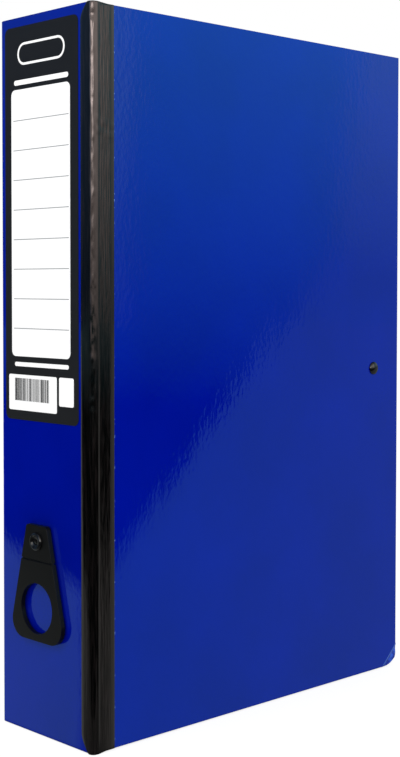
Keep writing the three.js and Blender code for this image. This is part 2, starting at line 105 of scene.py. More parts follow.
def addNode(tree, kind, inputs=None, out=0, **settings):
    node = tree.nodes.new(kind)
    for name, value in settings.items():
        setattr(node, name, value)
    for key, value in (inputs or {}).items():
        if isinstance(value, bpy.types.NodeSocket):
            tree.links.new(value, node.inputs[key])
        else:
            node.inputs[key].default_value = value
    return node.outputs[out] if node.outputs else node


def perMm(size):  # texture scale for features of this many millimetres
    return 1 / (size * mm)


def startMaterial(name):
    material = bpy.data.materials.new(name)
    material.use_nodes = True
    tree = material.node_tree
    tree.nodes.clear()
    return material, tree, addNode(tree, "ShaderNodeTexCoord", out="Object")


def addRelief(tree, where, *layers):  # bumps in layers of size and depth in millimetres, detail and stretch
    heights, normal = [], {}
    for size, deep, detail, stretch in layers:
        drawn = addNode(tree, "ShaderNodeMapping", {"Vector": where, "Scale": stretch})
        heights.append(addNode(tree, "ShaderNodeTexNoise", {"Vector": drawn, "Scale": perMm(size),
                                                            "Detail": detail}))
        inputs = {"Height": heights[-1], "Strength": 1.0, "Distance": deep * mm}
        normal = {"Normal": addNode(tree, "ShaderNodeBump", inputs | normal)}
    return heights, normal


def finishMaterial(material, cloud, rough, inputs, spread=(0.3, 0.7)):  # rougher where the cloud is thick
    tree = material.node_tree
    gloss = addNode(tree, "ShaderNodeMapRange", {
        "Value": cloud, "From Min": spread[0], "From Max": spread[1], "To Min": rough[0], "To Max": rough[1]})
    surface = addNode(tree, "ShaderNodeBsdfPrincipled", {"Roughness": gloss} | inputs)
    addNode(tree, "ShaderNodeOutputMaterial", {"Surface": surface})
    return material


# The lid's wear: pale flecks where the tape ends, and a knocked corner, whitened along its crease and paler
# past it, where the film has lifted
def addLidWear(tree, where, colour):
    wear = {"fleck": "6E8FD0", "bruise": "2A4FC0", "tapeEnd": -105.0, "fleckReach": (0.25, 0.6),
            "fleckSize": 1.3, "fleckShare": (0.62, 0.74), "crease": (106.5, 0.5),
            "creaseOut": (0.693, -0.721), "creaseReach": (0.1, 0.45), "creaseWhite": 0.4,
            "liftReach": (0.3, 1.2), "patch": 2.5, "patchShare": (0.42, 0.6)}
    along = addNode(tree, "ShaderNodeSeparateXYZ", {0: where}, "Y")
    tapeEnd = wear["tapeEnd"] * mm + shift.y
    away = addNode(tree, "ShaderNodeMath", {0: along, 1: tapeEnd}, operation="SUBTRACT")
    outY, outZ = wear["creaseOut"]
    start = place(0, *wear["crease"]).dot(Vector((0, outY, outZ)))
    past = addNode(tree, "ShaderNodeVectorMath", {0: where, 1: (0, outY, outZ)}, "Value",
                   operation="DOT_PRODUCT")
    past = addNode(tree, "ShaderNodeMath", {0: past, 1: start}, operation="SUBTRACT")
    lines = []
    for offset, reach, strength in ((away, wear["fleckReach"], 1.0),
                                    (past, wear["creaseReach"], wear["creaseWhite"])):
        apart = addNode(tree, "ShaderNodeMath", {0: offset}, operation="ABSOLUTE")
        lines.append(addNode(tree, "ShaderNodeMapRange", {
            "Value": apart, "From Min": reach[0] * mm, "From Max": reach[1] * mm, "To Min": strength,
            "To Max": 0.0}))
    low, high = wear["liftReach"]
    lifted = addNode(tree, "ShaderNodeMapRange", {"Value": past, "From Min": low * mm, "From Max": high * mm})
    spots = []
    for limit, size, detail, (low, high) in ((lines[0], wear["fleckSize"], 2.0, wear["fleckShare"]),
                                             (lifted, wear["patch"], 3.0, wear["patchShare"])):
        spot = addNode(tree, "ShaderNodeTexNoise", {"Vector": where, "Scale": perMm(size), "Detail": detail})
        spot = addNode(tree, "ShaderNodeMapRange", {"Value": spot, "From Min": low, "From Max": high})
        spots.append(addNode(tree, "ShaderNodeMath", {0: spot, 1: limit}, operation="MULTIPLY"))
    flecks, bruise = spots
    white = addNode(tree, "ShaderNodeMath", {0: flecks, 1: lines[1]}, operation="MAXIMUM")
    for amount, tone in ((bruise, wear["bruise"]), (white, wear["fleck"])):
        colour = addNode(tree, "ShaderNodeMix", {0: amount, 6: colour, 7: linear(tone)}, 2, data_type="RGBA")
    return colour


# Film-laminated printed paper glued on greyboard: a mirror-like film over saturated ink, with a slow sag
# where the board shows through and ripples along the paper's grain from the glue
def makeLaminatedPaper(name, onLid):
    look = {"ink": "000F8C", "inkDeep": "000D82", "cloud": 60, "cloudShare": (0.35, 0.65), "rub": 18,
            "rough": (0.03, 0.055), "sag": 42, "sagDeep": 0.1, "ripple": 10, "rippleDeep": 0.03, "peel": 2.2,
            "peelDeep": 0.024, "grain": (1, 1, 0.6), "ior": 1.7, "tint": (0.16, 0.7, 1, 1)}
    material, tree, where = startMaterial(name)
    cloud = addNode(tree, "ShaderNodeTexNoise", {
        "Vector": where, "Scale": perMm(look["cloud"]), "Detail": 3.0})
    low, high = look["cloudShare"]
    cloud = addNode(tree, "ShaderNodeMapRange", {"Value": cloud, "From Min": low, "From Max": high})
    colour = addNode(tree, "ShaderNodeMix", {0: cloud, 6: linear(look["ink"]), 7: linear(look["inkDeep"])}, 2,
                     data_type="RGBA")
    if onLid:
        colour = addLidWear(tree, where, colour)
    normal = addRelief(tree, where, (look["sag"], look["sagDeep"], 1.0, look["grain"]),
                       (look["ripple"], look["rippleDeep"], 2.0, look["grain"]),
                       (look["peel"], look["peelDeep"], 1.5, look["grain"]))[1]
    rub = addNode(tree, "ShaderNodeTexNoise", {"Vector": where, "Scale": perMm(look["rub"]), "Detail": 4.0})
    return finishMaterial(material, rub, look["rough"], {"Base Color": colour, "IOR": look["ior"],
                                                         "Specular Tint": look["tint"]} | normal)


# Plastic-coated book tape, calendered: black with a wet gloss, drawn out in fine lines up the file; the lines
# carry a painted highlight, a paler brownish tone along them
def makeBookTape():
    look = {"black": "020202", "streakSheen": "100D0D", "streakSheenShare": (0.45, 0.65), "cloud": 9, "rough": (0.06, 0.13),
            "line": 0.8, "lineDeep": 0.05, "lineDrawn": (1, 1, 0.05), "ripple": 5, "rippleDeep": 0.05,
            "rippleDrawn": (1, 1, 0.35), "ior": 1.58, "tint": (1, 0.85, 0.83, 1)}
    material, tree, where = startMaterial("coatedBookTape")
    heights, normal = addRelief(tree, where, (look["line"], look["lineDeep"], 2.0, look["lineDrawn"]),
                                (look["ripple"], look["rippleDeep"], 2.0, look["rippleDrawn"]))
    # painted highlight: the drawn lines are tinted paler brown, standing in for the light they catch
    low, high = look["streakSheenShare"]
    streak = addNode(tree, "ShaderNodeMapRange", {"Value": heights[0], "From Min": low, "From Max": high})
    colour = addNode(tree, "ShaderNodeMix", {0: streak, 6: linear(look["black"]), 7: linear(look["streakSheen"])}, 2,
                     data_type="RGBA")
    cloud = addNode(tree, "ShaderNodeTexNoise", {
        "Vector": where, "Scale": perMm(look["cloud"]), "Detail": 3.0})
    return finishMaterial(material, cloud, look["rough"], {"Base Color": colour, "IOR": look["ior"],
                                                           "Specular Tint": look["tint"]} | normal)


def makeClouded(name, look):  # one tone clouded with another, over a fine relief
    material, tree, where = startMaterial(name)
    cloud = addNode(tree, "ShaderNodeTexNoise", {
        "Vector": where, "Scale": perMm(look["cloud"]), "Detail": look["cloudDetail"]})
    dark, pale = look["tones"]
    colour = addNode(tree, "ShaderNodeMix", {0: cloud, 6: linear(dark), 7: linear(pale)}, 2, data_type="RGBA")
    normal = addRelief(tree, where, (look["grain"], look["grainDeep"], 2.0, look["drawn"]))[1]
    inputs = {"Base Color": colour} | look["inputs"] | normal
    return finishMaterial(material, cloud, look["rough"], inputs, look["spread"])


# Label stock printed in flat ink under a matt varnish, which breaks up what it reflects
def makePrintedStock(name, ink, tone, rough):
    return makeClouded(name, {
        "tones": (ink, tone), "cloud": 5, "cloudDetail": 3.0, "grain": 0.7, "grainDeep": 0.002,
        "drawn": (1, 1, 1), "rough": (rough - 0.05, rough + 0.05), "spread": (0, 1), "inputs": {"IOR": 1.35}})


# Injection-moulded polypropylene with a light spark-eroded grain: near black, with a soft sheen on its edges
def makeMouldedPlastic():
    return makeClouded("mouldedPolypropylene", {
        "tones": ("060605", "0C0B0B"), "cloud": 6, "cloudDetail": 3.0, "grain": 0.45, "grainDeep": 0.006,
        "drawn": (1, 1, 1), "rough": (0.3, 0.42), "spread": (0.3, 0.7), "inputs": {"IOR": 1.3}})


# Steel rivet with a baked black lacquer, which pools smooth over the pressed head
def makeLacqueredSteel():
    return makeClouded("lacqueredSteel", {
        "tones": ("070708", "121213"), "cloud": 2, "cloudDetail": 2.0, "grain": 1.2, "grainDeep": 0.02,
        "drawn": (1, 1, 1), "rough": (0.08, 0.16), "spread": (0, 1), "inputs": {"IOR": 1.45}})


# Pressed steel with bright zinc plate: faint drawing lines and a cloudy bloom
def makeZincPlate():
    return makeClouded("brightZincPlate", {
        "tones": ("A9ADB1", "D0D2D4"), "cloud": 4, "cloudDetail": 4.0, "grain": 0.4, "grainDeep": 0.004,
        "drawn": (1, 0.05, 1), "rough": (0.24, 0.4), "spread": (0.3, 0.7), "inputs": {"Metallic": 1.0}})


# Uncoated paper over greyboard: matt, with soft fibre clouds and a fibre nap along the grain
def makeBoardPaper(name, hexColour, cloudColour, fibre):
    look = {"cloud": 7, "cloudRough": 0.65, "cloudShare": (0.35, 0.7), "fibreDeep": 0.02,
            "grain": (1, 1, 0.3), "rough": (0.62, 0.8), "ior": 1.45}
    material, tree, where = startMaterial(name)
    cloud = addNode(tree, "ShaderNodeTexNoise", {
        "Vector": where, "Scale": perMm(look["cloud"]), "Detail": 5.0, "Roughness": look["cloudRough"]})
    low, high = look["cloudShare"]
    cloud = addNode(tree, "ShaderNodeMapRange", {"Value": cloud, "From Min": low, "From Max": high})
    colour = addNode(tree, "ShaderNodeMix", {0: cloud, 6: linear(hexColour), 7: linear(cloudColour)}, 2,
                     data_type="RGBA")
    fibres, normal = addRelief(tree, where, (fibre, look["fibreDeep"], 3.0, look["grain"]))
    inputs = {"Base Color": colour, "IOR": look["ior"]} | normal
    return finishMaterial(material, fibres[0], look["rough"], inputs)


paperBlue = makeLaminatedPaper("filmLaminatedPaper", False)
lidBlue = makeLaminatedPaper("filmLaminatedLidPaper", True)
tapeBlack = makeBookTape()
labelBlack = makePrintedStock("varnishedBlackInk", "161617", "1A1A1B", 0.5)
labelWhite = makePrintedStock("varnishedWhiteStock", "F7F7F7", "FCFCFC", 0.45)
ruleGrey = makePrintedStock("printedGreyRule", "83868A", "909396", 0.45)
plasticBlack = makeMouldedPlastic()
rivetBlack = makeLacqueredSteel()
zincSteel = makeZincPlate()
trayBlack = makeBoardPaper("blackBoardPaper", "1B1B1D", "242426", 0.35)
liningGrey = makeBoardPaper("greyLiningPaper", "B2B4B5", "BCBDBD", 0.4)
print("materials made")


# Mesh helpers, all in case millimetres
def newObject(name, shape):  # a mesh kept in frame metres, its object at the origin
    mesh = bpy.data.meshes.new(name)
    bmesh.ops.recalc_face_normals(shape, faces=shape.faces)
    for vertex in shape.verts:
        vertex.co = vertex.co * mm + shift
    shape.to_mesh(mesh)
    shape.free()
    item = bpy.data.objects.new(name, mesh)
    bpy.context.scene.collection.objects.link(item)
    return item


def applyModifiers(item):
    bpy.context.view_layer.update()
    graph = bpy.context.evaluated_depsgraph_get()
    mesh = bpy.data.meshes.new_from_object(item.evaluated_get(graph))
    item.modifiers.clear()
    item.data = mesh


def soften(item, radius, steps=3, sharpAngle=40, squareHoles=False):  # rounded edges beside flat faces
    edge = item.modifiers.new("edge", "BEVEL")
    edge.width, edge.segments, edge.limit_method = radius * mm, steps, "ANGLE"
    edge.angle_limit = math.radians(sharpAngle)
    if squareHoles:
        shape = bmesh.new()
        shape.from_mesh(item.data)
        inHole = shape.verts.layers.int["inHole"]
        weight = shape.edges.layers.float.new("bevel_weight_edge")
        for bend in shape.edges:
            onHole = all(vertex[inHole] for vertex in bend.verts)
            bend.smooth = not onHole
            if bend.calc_face_angle(0) > edge.angle_limit and not onHole:
                bend[weight] = 1
        shape.to_mesh(item.data)
        shape.free()
        edge.limit_method = "WEIGHT"
    item.data.polygons.foreach_set("use_smooth", [True] * len(item.data.polygons))
    flats = item.modifiers.new("flats", "WEIGHTED_NORMAL")
    flats.weight, flats.keep_sharp = 100, True
    applyModifiers(item)


def smoothTurned(item, angle):  # smooth round the curve, crisp at the corners
    item.data.polygons.foreach_set("use_smooth", [True] * len(item.data.polygons))
    item.data.set_sharp_from_angle(angle=math.radians(angle))


def joinShapes(first, *others):
    for other in others:
        mesh = bpy.data.meshes.new("part")
        other.to_mesh(mesh)
        other.free()
        first.from_mesh(mesh)
        bpy.data.meshes.remove(mesh)
    return first


def prism(outline, axis, low, high, holes=()):  # outline in (y, z), (x, z) or (x, y)
    shape = bmesh.new()
    inHole = shape.verts.layers.int.new("inHole")
    spot = {"x": lambda u, v, w: (w, u, v), "y": lambda u, v, w: (u, w, v),
            "z": lambda u, v, w: (u, v, w)}[axis]
    if holes:
        for loop in (outline, *holes):
            corners = [shape.verts.new(spot(u, v, low)) for u, v in loop]
            for corner in corners:
                corner[inHole] = loop is not outline
            for a, b in zip(corners, corners[1:] + corners[:1]):
                shape.edges.new((a, b))
        faces = bmesh.ops.triangle_fill(shape, edges=shape.edges[:], use_beauty=True)["geom"]
        faces = [f for f in faces if isinstance(f, bmesh.types.BMFace)]
    else:
        faces = [shape.faces.new([shape.verts.new(spot(u, v, low)) for u, v in outline])]
    pulled = bmesh.ops.extrude_face_region(shape, geom=faces)["geom"]
    move = Vector(spot(0, 0, high)) - Vector(spot(0, 0, low))
    bmesh.ops.translate(shape, vec=move, verts=[g for g in pulled if isinstance(g, bmesh.types.BMVert)])
    return shape


def loft(loops):  # closed skin over loops of as many points each
    shape = bmesh.new()
    rings = [[shape.verts.new(spot) for spot in loop] for loop in loops]
    for first, second in zip(rings, rings[1:]):
        for i in range(len(first)):
            k = (i + 1) % len(first)
            shape.faces.new((first[i], first[k], second[k], second[i]))
    shape.faces.new(rings[0])
    shape.faces.new(rings[-1])
    return shape


def arc(u, v, radius, start, end, steps=8):
    angles = [math.radians(start + (end - start) * i / steps) for i in range(steps + 1)]
    return [(u + radius * math.cos(a), v + radius * math.sin(a)) for a in angles]


def circle(u, v, radius, steps=40):
    return arc(u, v, radius, 0, 360, steps)[:-1]


def roundedOutline(u0, u1, v0, v1, corner, steps=6):
    return (arc(u1 - corner, v0 + corner, corner, -90, 0, steps)
            + arc(u1 - corner, v1 - corner, corner, 0, 90, steps)
            + arc(u0 + corner, v1 - corner, corner, 90, 180, steps)
            + arc(u0 + corner, v0 + corner, corner, 180, 270, steps))


def rectangle(u0, u1, v0, v1):
    return [(u0, v0), (u1, v0), (u1, v1), (u0, v1)]


def turned(profile, axis, u, v, steps=48):  # (radius, along) pairs turned about an axis
    shape = bmesh.new()
    rings = []
    for radius, along in profile:
        spots = [(0, 0)] if radius == 0 else circle(0, 0, radius, steps)
        put = {"x": lambda a, b: (along, u + a, v + b), "y": lambda a, b: (u + a, along, v + b),
               "z": lambda a, b: (u + a, v + b, along)}[axis]
        rings.append([shape.verts.new(put(a, b)) for a, b in spots])
    if profile[0][0] > 0:  # a ring closes on itself
        rings.append(rings[0])
    for first, second in zip(rings, rings[1:]):
        for i in range(steps):
            k = (i + 1) % steps
            corners = [first[i % len(first)], first[k % len(first)], second[k % len(second)],
                       second[i % len(second)]]
            unique = list(dict.fromkeys(corners))
            if len(unique) > 2:
                shape.faces.new(unique)
    return shape


def slab(node, axis, corner=0, holes=()):  # a prism as large as a CAD node, its outline's corners rounded
    low, high = boxOf(node)
    u, v = ("xyz".index(k) for k in "xyz" if k != axis)
    outline = rectangle(low[u], high[u], low[v], high[v])
    if corner:
        outline = roundedOutline(low[u], high[u], low[v], high[v], corner)
    return prism(outline, axis, getattr(low, axis), getattr(high, axis), holes)


def cut(shape, spot, across):  # new edges where a plane passes through
    everything = shape.verts[:] + shape.edges[:] + shape.faces[:]
    bmesh.ops.bisect_plane(shape, geom=everything, plane_co=spot, plane_no=across)


def finishPiece(item, material, body, slot, *nodes):
    item.data.materials.clear()
    item.data.materials.append(material)
    if body:
        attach(item, body)
    if nodes:
        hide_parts(*nodes)


def addPiece(name, shape, material, body, slot, *nodes, edge=None, angle=None):
    item = newObject(name, shape)
    if edge:
        soften(item, *edge)
    if angle:
        smoothTurned(item, angle)
    finishPiece(item, material, body, slot, *nodes)
    return item


# Where the fastenings pass through the boards
pullHole = {"x": -4, "z": 100.9, "round": 2.1}
catchSpot = {"y": 96.3, "z": 182.6, "round": 1.9, "button": 4.8}
clampSpot = {"z": 185, "round": 2.1}
catchHoles = [circle(catchSpot["y"], catchSpot["z"], catchSpot["round"], 24)]
clampHoles = [circle(sum(corner.y for corner in boxOf(f"clamp_rivet_{n}")) / 2, clampSpot["z"],
                     clampSpot["round"], 24) for n in (1, 2)]

# Covers: greyboard wrapped in printed paper, so every edge is a small roll of paper. The lid's tail corner
# took a knock: the board is turned in past a crease, and the paper stands up along it
cover = {"roll": 0.8, "crushDepth": 10, "crushRise": 3.6, "crushCurve": 2.2, "bulge": 0.5, "bulgeTall": 5.5,
         "creaseFrom": (106.5, 0.5), "creaseTo": (119, 12.5), "creaseWide": 0.5, "creaseRise": 0.3,
         "creaseCuts": (-1.6, -0.8, 0, 0.8, 1.6, 5), "turnedIn": 0.09}


def makeLidBoard():
    low, high = boxOf("lid_cover")
    depth, rise = cover["crushDepth"], cover["crushRise"]
    outline = [(low.y, low.z)]
    for t in (0, 0.2, 0.4, 0.6, 0.8, 0.95):
        outline.append((high.y - depth * (1 - t), low.z + rise * t ** cover["crushCurve"]))
    for t in (0, 0.25, 0.5, 0.75, 1):
        bulge = cover["bulge"] * math.sin(math.pi * t)
        outline.append((high.y + bulge, low.z + rise + cover["bulgeTall"] * t))
    outline += [(high.y, high.z), (low.y, high.z)]
    shape = prism(outline, "x", low.x, high.x, catchHoles)
    start, end = Vector(cover["creaseFrom"]), Vector(cover["creaseTo"])
    along = (end - start).normalized()
    out = Vector((along.y, -along.x))
    for step in cover["creaseCuts"]:
        cut(shape, (0, *(start + out * step * cover["creaseWide"])), (0, *out))
    middle = (low.x + high.x) / 2
    for vertex in shape.verts:
        past = (Vector(vertex.co.yz) - start).dot(out)
        if past > -2:
            vertex.co.x -= max(0, past) * cover["turnedIn"]
            if vertex.co.x > middle:
                vertex.co.x += cover["creaseRise"] * math.exp(-(past / cover["creaseWide"]) ** 2)
    return shape


def makeCovers():
    pullEye = circle(pullHole["x"], pullHole["z"], pullHole["round"], 24)
    for name, shape, material, body, node in (
            ("spineCover", slab("spine_cover", "y", 0, [pullEye]), paperBlue, "tray", "spine_cover"),
            ("backCover", slab("base_cover", "x", 0, clampHoles), paperBlue, "tray", "base_cover"),
            ("lidCover", makeLidBoard(), lidBlue, "lid", "lid_cover")):
        addPiece(name, shape, material, body, "blue_paper", node, edge=(cover["roll"], 4, 60, True))


makeCovers()
print("covers made")

# Tray walls and lining papers
tray = {"edge": 0.7, "liningCorner": 1}


def makeTray():
    low, high = boxOf("catch_button")
    buttonHole = circle((low.x + high.x) / 2, (low.z + high.z) / 2, catchSpot["button"])
    for node, name, axis, holes in (("head_wall", "headWall", "z", ()), ("tail_wall", "tailWall", "z", ()),
                                    ("fore_edge_wall", "foreEdgeWall", "y", [buttonHole])):
        addPiece(name, slab(node, axis, 0, holes), trayBlack, "tray", "tray_board", node,
                 edge=(tray["edge"], 3, 60, True))
    for node, name, body, holes in (("base_lining", "baseLining", "tray", clampHoles),
                                    ("lid_lining", "lidLining", "lid", catchHoles)):
        shape = slab(node, "x", tray["liningCorner"], holes)
        addPiece(name, shape, liningGrey, body, "lining_paper", node)


makeTray()
print("tray made")

# Hinge tape: one strip from the spine, round the corner and onto the lid. Its ends are cut back on the spine,
# and it is pinched unevenly over the corner, where it catches the light
tape = {"thick": 0.4, "round": 2.6, "flap": 2.5, "clear": 1.4, "onSpine": 8.5, "onLid": 13.8, "cutWide": 5.6,
        "cutTop": 8, "cutTail": 9.5, "cutCurve": 1.7, "glue": 0.05, "foldSteps": 14, "rowStep": 1.5,
        "endRoll": 0.22, "edgeSink": 0.14, "pinch": 0.15, "ridge": 0.22, "ridgeOn": 1.0, "ridgeWide": 0.4,
        "ridgeDrift": 0.25, "creases": (311.5, 306.2), "creaseRise": 0.1, "creaseWide": 0.7,
        "creaseSlope": 0.25, "creaseMiddle": -110, "pleat": 0.12, "pleatFrom": 318, "pleatRamp": 12,
        "pucker": 0.3, "puckerDown": 6.5, "puckerWide": 1.5, "lidInset": 0.5}
tapeX, tapeY = lidOuter + tape["glue"] + tape["thick"], spineOuter - tape["glue"] - tape["thick"]
flatPoint, cornerPoint, pleatPoint = 4, 15, 9  # where the corner starts and ends, and the pleat, in a section


def share(value, start, length):  # how far along a stretch, kept from 0 to 1
    return min(1, max(0, (value - start) / length))


def bump(value, width):  # 1 at 0, fading to nothing over about this width
    return math.exp(-(value / width) ** 2)


def tapeSection(z):  # outer points and their inward direction, from the spine round to the lid
    hingeX, hingeY = tapeX - tape["round"], tapeY + tape["round"]
    foldStart, foldEnd = hingeY + tape["flap"], hingeY + tape["flap"] + tape["clear"]
    endY = spineOuter + tape["onLid"]
    nearEnd = max(0, 1 - z / tape["cutTail"], 1 - (case["height"] - z) / tape["cutTop"])
    start = lidOuter - tape["onSpine"] + tape["cutWide"] * nearEnd ** tape["cutCurve"]
    points = [((start + (hingeX - start) * t, tapeY), (0, 1)) for t in (0, 0.05, 0.35, 0.7, 1)]
    for x, y in arc(hingeX, hingeY, tape["round"], -90, 0, 10)[1:]:
        points.append(((x, y), ((hingeX - x) / tape["round"], (hingeY - y) / tape["round"])))
    flat = [hingeY + tape["flap"] * t for t in (0.1, 0.2, 0.3, 0.45, 0.7, 1)]
    steps = tape["foldSteps"]
    flat += [foldStart + (foldEnd - foldStart) * (i + 1) / steps for i in range(steps)]
    flat += [foldEnd + (endY - foldEnd) * t for t in (0.06, 0.3, 0.6, 0.975, 1)]
    return points + [((tapeX, y), (-1, 0)) for y in flat], foldStart, foldEnd


def tapeSink(k, y, z):  # how far a point of the tape's face lies under the flat, from its pinches and ridges
    onCorner = math.sin(math.pi * share(k, flatPoint, cornerPoint - flatPoint))
    pinch = noise.noise(Vector((k * 0.35, 3.7, z / 9))) + 0.6 * noise.noise(Vector((k * 0.5, 9.1, z / 3)))
    sink = tape["pinch"] * onCorner * (pinch + 0.3)
    sink += tape["pleat"] * (k == pleatPoint) * share(z, tape["pleatFrom"], tape["pleatRamp"])
    sink += tape["pucker"] * onCorner * bump(case["height"] - z - tape["puckerDown"], tape["puckerWide"])
    if k >= cornerPoint:
        ridgeAt = tapeY + tape["round"] + tape["ridgeOn"]
        ridgeAt += tape["ridgeDrift"] * noise.noise(Vector((0, 0, z / 40)))
        sink -= tape["ridge"] * bump(y - ridgeAt, tape["ridgeWide"])
        for crease in tape["creases"]:
            slant = tape["creaseSlope"] * (y - tape["creaseMiddle"])
            sink -= tape["creaseRise"] * bump(z - crease + slant, tape["creaseWide"])
    return sink


def makeTape():
    tall = case["height"]
    ends = (0, 0.12, 0.3, 0.6, 1)
    count = round((tall - 2) / tape["rowStep"])
    heights = list(ends) + [1 + (tall - 2) * (i + 1) / count for i in range(count - 1)]
    heights += [tall - e for e in reversed(ends)]
    loops = []
    for z in heights:
        points, foldStart, foldEnd = tapeSection(z)
        rolled = tape["endRoll"] * max(0, 1 - min(z, tall - z)) ** 2
        outer, inner = [], []
        for k, ((x, y), (inX, inY)) in enumerate(points):
            sink = rolled + tapeSink(k, y, z) + (tape["edgeSink"] if k in (0, len(points) - 1) else 0)
            onLid = share(y, foldStart, foldEnd - foldStart) if k >= cornerPoint else 0
            height = z + onLid * tape["lidInset"] * (1 - 2 * z / tall)
            outer.append((x + inX * sink, y + inY * sink, height))
            inner.append((x + inX * tape["thick"], y + inY * tape["thick"], height))
        loops.append(outer + inner[::-1])
    strip = addPiece("hingeTape", loft(loops), tapeBlack, None, "hinge_tape", "hinge_tape_spine",
                     "hinge_tape_lid", angle=50)
    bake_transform(strip)


makeTape()
print("tape made")

# Spine label: black stock, a writing panel with rules, and generic fields where the printed names were
label = {"corner": 3.5, "panelCorner": 3, "smallCorner": 1, "rules": 8, "ruleTop": 316.8, "ruleStep": 15.33,
         "ruleLow": -26.5, "ruleHigh": 19.7, "ruleTall": 0.4, "film": 0.03, "bars": 32, "barLow": -25.5,
         "barHigh": 3, "barTail": 172, "barTall": 11.7, "barWide": 0.5, "barNarrowest": 0.4, "barWidest": 2.0,
         "seed": 5, "inkFace": 0.04, "inkBack": 0.005, "titleLine": (-26, 19.3, 335.0, 337.6),
         "codeLine": (-26, 19.3, 189.8, 192.0), "field": (-23, 16.5, 345, 356.5), "fieldBorder": 1.2}


def startGroup(name, sockets):  # a geometry group that gives Geometry and takes the named inputs
    tree = bpy.data.node_groups.new(name, "GeometryNodeTree")
    tree.interface.new_socket("Geometry", in_out="OUTPUT", socket_type="NodeSocketGeometry")
    for socket, kind in sockets.items():
        tree.interface.new_socket(socket, in_out="INPUT", socket_type="NodeSocket" + kind)
    return tree, tree.nodes.new("NodeGroupInput").outputs


def makeBarTree():  # copies of one bar in a row, each as wide as chance gives within its limits
    tree, given = startGroup("barRow", {
        "Count": "Int", "Start": "Vector", "Step": "Vector", "Size": "Vector", "Narrowest": "Float",
        "Widest": "Float", "Seed": "Int", "Material": "Material"})
    line = addNode(tree, "GeometryNodeMeshLine", {
        "Count": given["Count"], "Start Location": given["Start"], "Offset": given["Step"]})
    bar = addNode(tree, "GeometryNodeMeshCube", {"Size": given["Size"]})
    wide = addNode(tree, "FunctionNodeRandomValue", {
        2: given["Narrowest"], 3: given["Widest"], "Seed": given["Seed"]}, 1)
    scale = addNode(tree, "ShaderNodeCombineXYZ", {"X": wide, "Y": 1.0, "Z": 1.0})
    copies = addNode(tree, "GeometryNodeInstanceOnPoints", {"Points": line, "Instance": bar, "Scale": scale})
    real = addNode(tree, "GeometryNodeRealizeInstances", {0: copies})
    painted = addNode(tree, "GeometryNodeSetMaterial", {"Geometry": real, "Material": given["Material"]})
    addNode(tree, "NodeGroupOutput", {0: painted})
    return tree


def growNodes(name, tree, values):
    item = bpy.data.objects.new(name, bpy.data.meshes.new(name))
    bpy.context.scene.collection.objects.link(item)
    modifier = item.modifiers.new("grow", "NODES")
    modifier.node_group = tree
    for socket in tree.interface.items_tree:
        if socket.in_out == "INPUT" and socket.name in values:
            modifier[socket.identifier] = values[socket.name]
    applyModifiers(item)
    return item


def pill(x0, x1, z0, z1, square):  # an outline with ends that are round but for a square bit in millimetres
    return roundedOutline(x0, x1, z0, z1, (z1 - z0) / 2 - square)


def makeLabel():
    face, front = boxOf("spine_label")[0].y, boxOf("label_mark_panel")[0].y
    for node, name, corner, material, slot in (
            ("spine_label", "spineLabel", label["corner"], labelBlack, "label_black"),
            ("label_panel", "writingPanel", label["panelCorner"], labelWhite, "label_white"),
            ("label_bar_panel", "barPanel", label["smallCorner"], labelWhite, "label_white"),
            ("label_mark_panel", "plainPanel", label["smallCorner"], labelWhite, "label_white")):
        addPiece(name, slab(node, "y", corner), material, "tray", slot, node)
    film, row = label["film"], makeBarTree()
    onPanel = front - film / 2
    ruleWide, ruleMiddle = label["ruleHigh"] - label["ruleLow"], (label["ruleLow"] + label["ruleHigh"]) / 2
    rules = growNodes("writingRules", row, {
        "Count": label["rules"], "Start": place(ruleMiddle, onPanel, label["ruleTop"]),
        "Step": (0, 0, -label["ruleStep"] * mm), "Narrowest": 1.0, "Widest": 1.0, "Material": ruleGrey,
        "Size": (ruleWide * mm, film * mm, label["ruleTall"] * mm)})
    finishPiece(rules, ruleGrey, "tray", "label_black")
    pitch = (label["barHigh"] - label["barLow"]) / label["bars"]
    barMiddle = label["barTail"] + label["barTall"] / 2
    bars = growNodes("plainBars", row, {
        "Count": label["bars"] + 1, "Start": place(label["barLow"], onPanel, barMiddle),
        "Step": (pitch * mm, 0, 0), "Narrowest": label["barNarrowest"], "Widest": label["barWidest"],
        "Seed": label["seed"], "Material": labelBlack,
        "Size": (pitch * label["barWide"] * mm, film * mm, label["barTall"] * mm)})
    finishPiece(bars, labelBlack, "tray", "label_black")
    x0, x1, z0, z1 = label["field"]
    border = label["fieldBorder"]
    inside = pill(x0 + border, x1 - border, z0 + border, z1 - border, 0.05)
    for name, outline, holes in (("titleLine", pill(*label["titleLine"], 0.026), ()),
                                 ("codeLine", pill(*label["codeLine"], 0.022), ()),
                                 ("titleField", pill(*label["field"], 0.05), [inside])):
        ink = prism(outline, "y", face - label["inkFace"], face - label["inkBack"], holes)
        addPiece(name, ink, labelWhite, "tray", "label_white")


makeLabel()
print("label made")

# Ring pull: one moulding with a fold line, held by one rivet
pull = {"centre": -4, "top": 109.3, "bottom": 49.6, "topWide": 16.5, "topCorner": 2, "topCornerSide": 1.44,
        "round": 9, "spacing": 23.2, "thick": 2.5, "standOff": 0.8, "hole": 13, "holeZ": 66.4, "crease": 91,
        "grooveDeep": 0.6, "grooveBack": 0.96, "grooveWide": 0.55, "edge": 0.75, "washer": 6,
        "washerHole": 2.15, "washerEdge": 0.2}


